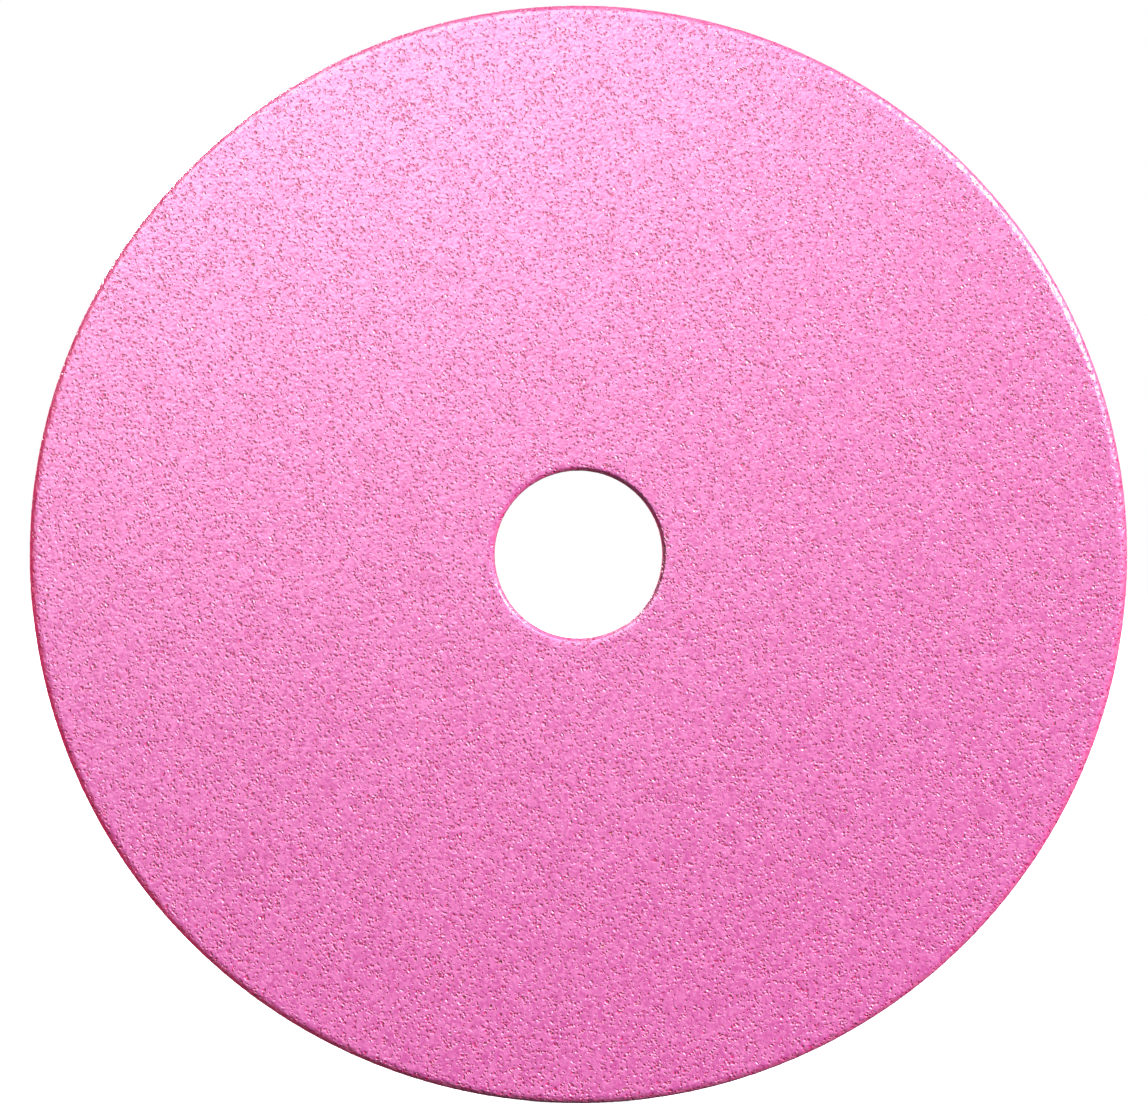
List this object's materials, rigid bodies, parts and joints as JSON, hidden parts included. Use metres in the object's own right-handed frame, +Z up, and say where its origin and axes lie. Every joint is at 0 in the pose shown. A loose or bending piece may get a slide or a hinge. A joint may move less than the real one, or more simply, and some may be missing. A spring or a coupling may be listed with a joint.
{
  "type": "grinding wheel",
  "caption": "Straight vitrified grinding wheel: a thin flat disc of pink fused alumina with a plain central bore, for sharpening saw chain.",
  "frame": {"origin": "the bore's centre, where the spindle holds the wheel: on its axis, midway between the two faces, which is also the wheel's centre", "axes": "+Y is the axis that the wheel spins about and the back face's normal, -Y is the front face's normal, and +Z is up with the wheel upright; the disc is round, so +X is any radius"},
  "size_m": [0.145, 0.0032, 0.145],
  "materials": {
    "pink_alumina": "porous, granular, matte with small glassy glints"
  },
  "bodies": {
    "root": {"abrasive_body": "pink_alumina"}
  },
  "joints": []
}
